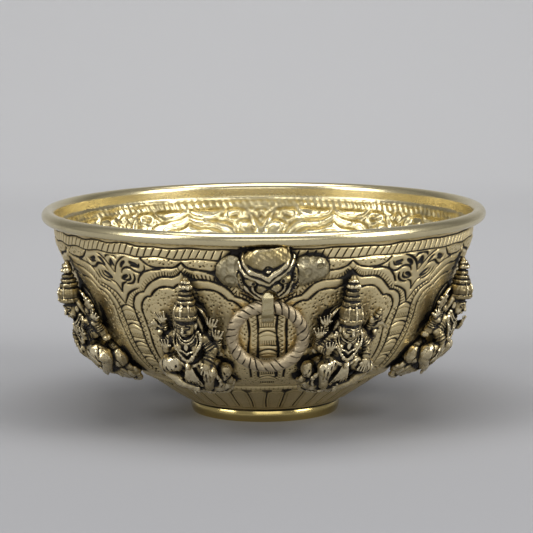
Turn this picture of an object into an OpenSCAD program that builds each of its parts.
// Offering bowl of raised brass sheet, with a rolled and wired rim and a
// soldered foot ring. Eight cast seated figures and two cast lion masks
// stand on its wall, and each mask holds a ring handle of twisted bar.
// All sizes are in millimetres. The bowl stands on z = 0, its axis is the
// Z axis, and the front mask faces -Y.

/* [Bowl] */
// Outer diameter over the rolled rim
rim_d = 182; // [170:1:200]
// Height from the table to the top of the rim
bowl_h = 84.5; // [81:0.5:92]
// Thickness of the raised sheet
sheet_t = 0.6; // [0.5:0.1:1]
// Diameter of the rolled rim
roll_d = 5.4; // [4.8:0.2:6.4]
// How far the top of the neck lies below the top of the rim
neck_drop = 5; // [4.6:0.1:6]
// Radius of the bend between the neck and the side
shoulder_bend_r = 26; // [16:1:28]
// Radius of the bend between the side and the underside
knee_bend_r = 40; // [30:1:50]
// Radius of the bend between the underside and the flat bottom
base_bend_r = 6; // [4:0.5:8]
// Radius at which the underside reaches the flat bottom
base_r = 27.5; // [25:0.5:29]
// Height of the flat bottom above the table
base_lift = 2.5; // [2:0.1:3.5]
// Distance of the raised ledge from the neck, down the wall
ledge_t = 73; // [72:0.5:76]
// Width of the raised ledge
ledge_w = 2.4; // [1.6:0.2:3]
// How far the ledge stands proud of the wall
ledge_h = 0.7; // [0.4:0.1:1]

/* [Rim wire and foot] */
// Gap between the core wire and the sheet rolled round it
wire_gap = 0.1; // [0.05:0.05:0.2]
// Outer diameter of the foot ring where it stands on the table
foot_d = 60; // [57:0.5:62]
// Outer diameter of the foot ring at its top
foot_top_d = 61; // [59:0.5:63]
// Thickness of the foot ring
foot_t = 1.6; // [1.2:0.1:2.2]
// How far the side of the foot ring bulges
foot_bulge = 0.5; // [0.2:0.1:0.8]
// Solder gap between the wall and a piece that is soldered to it
solder_gap = 0.1; // [0.05:0.05:0.2]

/* [Figures] */
// Distance from the neck to the tip of a figure's crown, down the wall
fig_top_t = 13; // [11:0.5:15]
// Width of a figure over its hands
fig_w = 27; // [24:0.5:27.5]
// Height of a figure from its seat to the tip of its crown
fig_h = 56; // [50:0.5:58]
// Depth of a figure from the wall to its crown and knees
fig_d = 12; // [10:0.5:14]

/* [Lion masks] */
// Distance from the neck to the top of a mask, down the wall
mask_top_t = 1.5; // [1:0.25:2.5]
// Width of a mask over its ears
mask_w = 22; // [19:0.5:24]
// Height of a mask from its forehead to its jaw
mask_h = 18; // [16:0.5:18.5]
// Depth of a mask from the wall to its nose
mask_d = 8; // [6.5:0.25:8.5]
// Width of the flat lobe beside each ear
lobe_w = 8; // [6:0.5:9]
// Thickness of the flat lobes
lobe_t = 2.6; // [1.8:0.2:3.4]

/* [Ring handles] */
// Outer diameter of a ring handle
ring_d = 32; // [28:0.5:32.5]
// Diameter of the twisted bar of a ring
bar_d = 4.8; // [4:0.1:5]
// Depth of the grooves between the strands of the bar
strand_groove = 0.6; // [0.3:0.1:0.8]
// Number of strands in the twisted bar
strand_n = 3; // [3:1:4]
// Number of full turns that each strand makes on its way round the ring
twist_n = 9; // [6:1:11]
// Distance from the neck to the hinge line of a ring, down the wall
hinge_t = 24; // [23.5:0.25:26]
// Running gap round the bar of a ring
ring_gap = 0.5; // [0.4:0.05:0.7]
// Width of the strap that holds a ring
strap_w = 4.6; // [3.6:0.2:5.4]
// Thickness of the strap
strap_t = 1; // [0.8:0.1:1.4]
// Length of the strap above the hinge line
strap_up = 6; // [5.6:0.1:6.6]
// Length of the strap below the hinge line
strap_down = 6; // [5.4:0.1:7]

/* [Hidden] */

// Overrun of every cut past the solid that it cuts
overrun = 1;
// Facets of the large revolves, of the trimming forms and of the balls
// that the castings are shaped from
$fn = 96;
trim_fn = 60;
fine_trim_fn = 180;
ball_fn = 5;
head_fn = 5;
crown_fn = 7;
disc_fn = 10;
face_fn = 12;

rim_r = rim_d / 2;
roll_r = roll_d / 2;
roll_centre = [rim_r - roll_r, bowl_h - roll_r];

// The outside of the wall runs through four corners and a centre point.
// The neck is upright, and the inside of the rim is flush with it. The
// shoulder's height and the knee are shares of the height and rim radius.
neck_r = rim_r - roll_d + sheet_t;
shoulder_share = 0.866;
knee_shares = [0.731, 0.337];
corners = [
    [neck_r, bowl_h - neck_drop],
    [neck_r, bowl_h * shoulder_share],
    [rim_r * knee_shares[0], bowl_h * knee_shares[1]],
    [base_r, base_lift],
    [0, base_lift]];

// Slope of each straight stretch, in degrees from straight down
slopes = [for (i = [0 : 3])
    atan2(corners[i][0] - corners[i + 1][0], corners[i][1] - corners[i + 1][1])];

// A bend is no larger than the stretches beside it allow: each bend may
// take up to this share of either one
bend_share = 0.48;
neck_bend_share = 0.95;
function side_len(i) = norm(corners[i + 1] - corners[i]);
function bend_limit(i) =
    min(side_len(i - 1) * (i == 1 ? neck_bend_share : bend_share), side_len(i) * bend_share)
        / tan((slopes[i] - slopes[i - 1]) / 2);
bend_rs = [0, min(shoulder_bend_r, bend_limit(1)), min(knee_bend_r, bend_limit(2)),
           min(base_bend_r, bend_limit(3)), 0];

// Length that the bend at a corner takes from each stretch beside it
function bend_cut(i) =
    bend_rs[i] == 0 ? 0 : bend_rs[i] * tan((slopes[i] - slopes[i - 1]) / 2);
function bend_len(i) =
    bend_rs[i] == 0 ? 0 : bend_rs[i] * (slopes[i] - slopes[i - 1]) * PI / 180;
function run_len(i) =
    norm(corners[i + 1] - corners[i]) - bend_cut(i) - bend_cut(i + 1);

// Distance from the neck at which each straight stretch starts and ends
function run_start(i) = i == 0 ? 0 : run_end(i - 1) + bend_len(i);
function run_end(i) = run_start(i) + run_len(i);
run_starts = [for (i = [0 : 3]) run_start(i)];
run_ends = [for (i = [0 : 3]) run_end(i)];
wall_len = run_ends[3];

function down(slope) = [-sin(slope), -cos(slope)];
function out(slope) = [cos(slope), -sin(slope)];

// Place in a list of stretches: the first one that ends past t
function stretch(t, i = 0) = i >= 3 || t <= run_ends[i] ? i : stretch(t, i + 1);

// Slope of the wall at the distance t from the neck
function wall_slope(t) =
    let (i = stretch(t))
    t >= run_starts[i] ? slopes[i]
        : slopes[i] - (run_starts[i] - t) / bend_rs[i] * 180 / PI;

// Radius and height of the outside of the wall at the distance t
function wall_point(t) =
    let (
        i = stretch(t),
        start = corners[i] + bend_cut(i) * down(slopes[i]),
        past = max(t - run_starts[i], t < 0 ? t : 0),
        a = wall_slope(t))
    t >= run_starts[i] || i == 0
        ? start + past * down(slopes[i])
        : start - bend_rs[i] * [cos(slopes[i]) - cos(a), sin(a) - sin(slopes[i])];

// Height of the straight underside at a radius
function underside_z(r) = base_lift + (r - base_r) / tan(slopes[2]);

// Steps of t between two distances
function steps(a, b, n) = [for (k = [0 : n]) a + (b - a) * k / n];

// How far the ledge stands out at the distance t
function ledge(t) =
    abs(t - ledge_t) >= ledge_w / 2 ? 0
        : ledge_h * pow(cos((t - ledge_t) / ledge_w * 180), 2);

// A list in rising order, with equal values once
function sorted(list) =
    len(list) == 0 ? []
        : let (middle = list[floor(len(list) / 2)])
          concat(sorted([for (x = list) if (x < middle) x]), [middle],
                 sorted([for (x = list) if (x > middle) x]));

wall_steps = sorted(concat(
    [0],
    steps(run_ends[0], run_starts[1], 7),
    steps(run_ends[1], run_starts[2], 11),
    steps(ledge_t - ledge_w / 2, ledge_t + ledge_w / 2, 8),
    steps(run_ends[2], run_starts[3], 4),
    [wall_len]));

// Outline of the sheet from the bottom centre up the outside, round the
// rolled rim and down the inside
roll_from = atan2(corners[0][1] - roll_centre[1], corners[0][0] - roll_centre[0]);
function outer_point(t) = wall_point(t) + ledge(t) * out(wall_slope(t));
function inner_point(t) = wall_point(t) - sheet_t * out(wall_slope(t));
outer_line = [for (k = [len(wall_steps) - 1 : -1 : 0]) outer_point(wall_steps[k])];
roll_line = [for (a = steps(roll_from, 180, 32)) roll_centre + roll_r * [cos(a), sin(a)]];
inner_line = [for (t = wall_steps) if (t > 0) inner_point(t)];

// A place on the wall: the azimuth az from the front, the distance t from
// the neck, and the height h over the wall. Children face outward, with
// their Y up the wall.
module spot(az, t, h) {
    p = wall_point(t) + h * out(wall_slope(t));
    rotate([0, 0, az])
        translate([0, -p[0], p[1]])
            rotate([90 + wall_slope(t), 0, 0])
                children();
}

// The bowl's outer form, grown by the solder gap and by the sag of its
// steps, that trims the backs of the pieces soldered to the wall
trim_steps = concat(
    [0],
    steps(run_ends[0], run_starts[1], 3),
    steps(run_ends[1], run_starts[2], 5),
    steps(run_ends[2], run_starts[3], 2),
    [wall_len]);
trim_sag = pow(bend_len(2) / 5, 2) / knee_bend_r / 8;
trim_grow = solder_gap + trim_sag;
function trim_point(t, fn) =
    let (p = wall_point(t) + trim_grow * out(wall_slope(t)))
    [p[0] / cos(180 / fn), p[1]];

module bowl_form(fn = trim_fn) {
    rotate_extrude($fn = fn)
        polygon(concat(
            [for (k = [len(trim_steps) - 1 : -1 : 0]) trim_point(trim_steps[k], fn)],
            [[(neck_r + trim_grow) / cos(180 / fn), bowl_h], [0, bowl_h]]));
}

module bowl_shell() {
    color("#b5a878")
        rotate_extrude()
            difference() {
                polygon(concat(outer_line, roll_line, inner_line));
                translate(roll_centre)
                    circle(r = roll_r - sheet_t);
            }
}

module rim_wire() {
    color("#a8925a")
        rotate_extrude()
            translate(roll_centre)
                circle(r = roll_r - sheet_t - wire_gap);
}

foot_r = foot_d / 2;
foot_top_r = foot_top_d / 2;
function foot_z(r) = max(underside_z(r), base_lift) - solder_gap / sin(slopes[2]);
foot_top_z = foot_z(foot_top_r);
foot_in_z = foot_z(foot_top_r - foot_t);

module foot_ring() {
    side = [for (s = steps(0, 1, 8))
        [foot_r + (foot_top_r - foot_r) * s + foot_bulge * sin(180 * s), foot_top_z * s]];
    color("#a89a62")
        rotate_extrude()
            polygon(concat(side, [[foot_top_r - foot_t, foot_in_z], [foot_r - foot_t, 0]]));
}

// Cast figures. A place on a figure is [x, y, h]: the share of its width
// from the middle, the share of its height from the crown's tip, and the
// share of its depth from the wall. Radii are shares of its depth.
function fig_t(place) = fig_top_t + place[1] * fig_h;
function fig_turn(place) =
    place[0] * fig_w / (wall_point(fig_t(place))[0] + place[2] * fig_d) * 180 / PI;

module fig_ball(ball, fn) {
    spot(fig_turn(ball), fig_t(ball), ball[2] * fig_d)
        sphere(r = ball[3] * fig_d, $fn = fn);
}

// A smooth form over a row of balls [x, y, h, radius]
module form(balls, fn = ball_fn) {
    hull()
        for (ball = balls)
            fig_ball(ball, fn);
}

// A bent form, one stretch at a time through a row of balls
module bent_form(balls) {
    for (k = [1 : len(balls) - 1])
        form([balls[k - 1], balls[k]]);
}

// The crown is turned: radius and height of its outline from the brow to
// the tip, as shares of the figure's depth and height
crown_shares = [[0, -0.02], [0.36, 0], [0.42, 0.07], [0.3, 0.09],
                [0.24, 0.15], [0.12, 0.175], [0.13, 0.21], [0, 0.235]];
crown_place = [0, 0.235, 0.52];
crown_lean = 12;

module crown() {
    spot(0, fig_t(crown_place), crown_place[2] * fig_d)
        rotate([-90 - crown_lean, 0, 0])
            rotate_extrude($fn = crown_fn)
                polygon([for (p = crown_shares) [p[0] * fig_d, p[1] * fig_h]]);
}

// Head, torso, lap, seat and foot rest, the same on every figure
head_shares = [[0, 0.28, 0.56, 0.31], [0, 0.375, 0.5, 0.24]];
torso_shares = [[0, 0.41, 0.44, 0.22], [-0.17, 0.45, 0.36, 0.3], [0.17, 0.45, 0.36, 0.3],
                [0, 0.62, 0.46, 0.36]];
lap_shares = [[-0.14, 0.68, 0.36, 0.34], [0.14, 0.68, 0.36, 0.34]];
seat_shares = [[-0.26, 0.8, 0.14, 0.34], [0.26, 0.8, 0.14, 0.34]];
rest_shares = [[-0.12, 0.84, 0.18, 0.26], [0.12, 0.84, 0.18, 0.26],
               [-0.16, 0.93, 0.26, 0.28], [0.16, 0.93, 0.26, 0.28]];

// Outer arms from the shoulder through the elbow to the hand, and the
// forearms of the inner arms, whose upper arms lie behind the outer ones
shoulder = [0.22, 0.455, 0.36, 0.21];
raised_arm = [shoulder, [0.39, 0.47, 0.34, 0.18], [0.4, 0.32, 0.4, 0.2]];
level_arm = [shoulder, [0.37, 0.55, 0.36, 0.18], [0.42, 0.42, 0.42, 0.2]];
giving_arm = [[0.25, 0.51, 0.4, 0.23], [0.31, 0.67, 0.76, 0.17]];
blessing_arm = [[0.24, 0.55, 0.42, 0.22], [0.29, 0.49, 0.78, 0.18]];

// A leg folded flat on the seat, and one that hangs with its foot forward
folded_leg = [[0.12, 0.68, 0.5, 0.26], [0.4, 0.69, 0.66, 0.21], [0.04, 0.79, 0.64, 0.15]];
hanging_leg = [[0.12, 0.68, 0.5, 0.26], [0.28, 0.67, 0.74, 0.21], [0.14, 0.91, 0.62, 0.16]];

// A side petal of the lotus seat
petal = [[0.26, 0.82, 0.3, 0.2], [0.43, 0.86, 0.16, 0.16]];

function side(balls, s) = [for (b = balls) [s * b[0], b[1], b[2], b[3]]];

// The nimbus is a low plate behind the head
nimbus_share = 0.28;
nimbus_r_share = 0.26;
nimbus_h_share = 0.3;

module nimbus() {
    spot(0, fig_top_t + fig_h * nimbus_share, 0)
        cylinder(r = fig_w * nimbus_r_share, h = fig_d * nimbus_h_share, $fn = disc_fn);
}

// Outer arms and inner arms of each figure, and the side of its hanging leg
fig_outer_arms = [raised_arm, raised_arm, level_arm, raised_arm,
                  raised_arm, level_arm, raised_arm, raised_arm];
fig_inner_arms = [giving_arm, blessing_arm, giving_arm, giving_arm,
                  blessing_arm, giving_arm, blessing_arm, giving_arm];
fig_leg_sides = [1, -1, 1, -1, -1, 1, -1, 1];

// Four figures stand on each side, between the masks, at even steps. The
// outer two leave room for the ring.
side_n = 4;
fig_ring_gap = 1;
hands_r = wall_point(fig_t(level_arm[2]))[0] + level_arm[2][2] * fig_d;
first_turn = max(90 / side_n, (ring_d / 2 + fig_ring_gap + fig_w / 2) / hands_r * 180 / PI);
side_step = (180 - 2 * first_turn) / (side_n - 1);
function fig_azimuth(i) =
    let (k = (i - 1) % side_n)
    180 * (i - 1 - k) / side_n + first_turn + k * side_step;

module figure(i) {
    leg = fig_leg_sides[i - 1];
    azimuth = fig_azimuth(i);
    color("#c0b283")
        rotate([0, 0, azimuth])
            difference() {
                union() {
                    crown();
                    nimbus();
                    form(head_shares, head_fn);
                    for (balls = [torso_shares, lap_shares, seat_shares, rest_shares])
                        form(balls);
                    for (s = [-1, 1]) {
                        form(side(petal, s));
                        bent_form(side(fig_outer_arms[i - 1], s));
                        bent_form(side(s == leg ? giving_arm : fig_inner_arms[i - 1], s));
                    }
                    bent_form(side(hanging_leg, leg));
                    bent_form(side(folded_leg, -leg));
                }
                rotate([0, 0, -azimuth])
                    bowl_form();
            }
}

// Lion masks. A place is [x, y, h], as shares of the mask's width, height
// and depth. Radii are shares of its depth.
function mask_turn(place) =
    place[0] * mask_w
        / (wall_point(mask_top_t + place[1] * mask_h)[0] + place[2] * mask_d) * 180 / PI;

module mask_ball(ball) {
    spot(mask_turn(ball), mask_top_t + ball[1] * mask_h, ball[2] * mask_d)
        sphere(r = ball[3] * mask_d, $fn = ball_fn);
}

// A ridge through a row of balls [x, y, h, radius]
module ridge(balls) {
    for (k = [1 : len(balls) - 1])
        hull() {
            mask_ball(balls[k - 1]);
            mask_ball(balls[k]);
        }
}

// The face's round base reaches from the top of the mask to its jaw. Its
// two middles lie beside each other, and its radii follow the height.
face_places_shares = [[-0.04, 0.5], [0.04, 0.5]];
face_foot_share = 0.5;
face_front_share = 0.36;
face_depth_share = 0.5;
forehead_balls = [[-0.1, 0.16, 0.5, 0.38], [0.1, 0.16, 0.5, 0.38]];
brow_balls = [[0.34, 0.06, 0.4, 0.13], [0.32, 0.34, 0.6, 0.13], [0, 0.58, 0.86, 0.14]];
ear_balls = [[0.42, 0.2, 0.4, 0.13], [0.44, 0.52, 0.4, 0.15], [0.22, 0.88, 0.4, 0.13]];
eye_ball = [0.23, 0.54, 0.6, 0.22];
nostril_ball = [0.12, 0.74, 0.72, 0.25];

module lion_mask() {
    color("#bfb182")
        difference() {
            union() {
                hull()
                    for (place = face_places_shares)
                        spot(mask_turn([place[0], place[1], 0]), mask_top_t + place[1] * mask_h, 0)
                            cylinder(r1 = mask_h * face_foot_share, r2 = mask_h * face_front_share,
                                     h = mask_d * face_depth_share, $fn = face_fn);
                hull()
                    for (ball = forehead_balls)
                        mask_ball(ball);
                for (s = [-1, 1]) {
                    ridge(side(brow_balls, s));
                    ridge(side(ear_balls, s));
                    for (ball = side([eye_ball, nostril_ball], s))
                        mask_ball(ball);
                }
            }
            plate_form(solder_gap);
            strap_room();
            bowl_form();
        }
}

// The plate lies on the wall behind the mask and spreads into a lobe on
// each side. A place is [x, y]: the share of the plate's width and of the
// mask's height.
plate_w = mask_w + 2 * lobe_w;
plate_places_shares = [[-0.38, 0.36], [-0.36, 0.68], [0.38, 0.36], [0.36, 0.68], [0, 0.3], [0, 0.8]];
plate_edge_share = 0.12;
plate_top_share = 0.07;

module plate_form(grow) {
    hull()
        for (place = plate_places_shares)
            spot(place[0] * plate_w / (neck_r + lobe_t) * 180 / PI,
                 mask_top_t + place[1] * mask_h, 0)
                cylinder(r1 = plate_w * plate_edge_share + grow,
                         r2 = plate_w * plate_top_share + grow,
                         h = lobe_t + grow, $fn = disc_fn);
}

module mask_plate() {
    color("#b3a677")
        difference() {
            plate_form(0);
            strap_room();
            bowl_form(fine_trim_fn);
        }
}

// Ring handles. The hinge line is the middle of the bar at the top of the
// ring, and the ring lies along the side of the wall.
bar_r = bar_d / 2;
hinge_h = bar_r + ring_gap;
ring_mid_r = ring_d / 2 - bar_r;
bore_r = bar_r + ring_gap;

module at_hinge() {
    spot(0, hinge_t, hinge_h)
        children();
}

// The strap comes out of the mask's mouth, runs over the bar and stands on
// the wall above and below it. Its outline has X up the wall and Y outward.
strap_top_r = bore_r + strap_t;
strap_arc = [150, 40];
strap_arc_steps = 10;
strap_foot_h = hinge_h - solder_gap;
strap_line = concat(
    [[-strap_down, -strap_foot_h]],
    [for (a = steps(strap_arc[0], strap_arc[1], strap_arc_steps)) strap_top_r * [cos(a), sin(a)]],
    [[strap_up, -strap_foot_h + strap_t * 2], [strap_up, -strap_foot_h]]);

module across_hinge(width) {
    at_hinge()
        rotate([90, 0, 90])
            translate([0, 0, -width / 2])
                linear_extrude(height = width)
                    children();
}

module ring_strap() {
    color("#c9bd92")
        across_hinge(strap_w)
            difference() {
                polygon(strap_line);
                circle(r = bore_r);
                translate([-bore_r, -hinge_h - overrun])
                    square([2 * bore_r, hinge_h + overrun]);
            }
}

// Room for the strap and for the bar in the mouth of the mask
module strap_room() {
    room = strap_w / 2 + solder_gap;
    across_hinge(2 * room)
        translate([-strap_down, -hinge_h - overrun])
            square([strap_down + strap_up + solder_gap, 2 * hinge_h + mask_d]);
    at_hinge()
        rotate([0, 90, 0])
            cylinder(r = bore_r, h = mask_w, center = true);
}

// Steps of the bar round the ring for each ridge, and sides of each strand
ridge_steps = 2;
strand_steps = 2;

module ring_handle() {
    m = strand_n * strand_steps;
    ring_steps = strand_n * twist_n * ridge_steps;
    points = [for (i = [0 : ring_steps - 1], j = [0 : m - 1])
        let (
            a = 360 * i / ring_steps,
            b = 360 * j / m,
            turn = twist_n * a,
            r = bar_r - strand_groove * (1 - cos(strand_n * b)) / 2,
            q = ring_mid_r + r * cos(b + turn))
        [q * sin(a), q * cos(a) - ring_mid_r, r * sin(b + turn)]];
    faces = [for (i = [0 : ring_steps - 1], j = [0 : m - 1], half = [0, 1])
        let (
            i2 = (i + 1) % ring_steps,
            j2 = (j + 1) % m,
            a = i * m + j,
            b = i * m + j2,
            c = i2 * m + j2,
            d = i2 * m + j)
        half == 0 ? [a, d, b] : [b, d, c]];
    color("#ab9f86")
        at_hinge()
            polyhedron(points = points, faces = faces);
}

module turned(back) {
    rotate([0, 0, back ? 180 : 0])
        children();
}

bowl_shell();
rim_wire();
foot_ring();
figure(1);  // figure_1
figure(2);  // figure_2
figure(3);  // figure_3
figure(4);  // figure_4
figure(5);  // figure_5
figure(6);  // figure_6
figure(7);  // figure_7
figure(8);  // figure_8
mask_plate();  // mask_plate_front
turned(true) mask_plate();  // mask_plate_back
lion_mask();  // lion_mask_front
turned(true) lion_mask();  // lion_mask_back
ring_strap();  // ring_strap_front
turned(true) ring_strap();  // ring_strap_back
ring_handle();  // ring_handle_front
turned(true) ring_handle();  // ring_handle_back
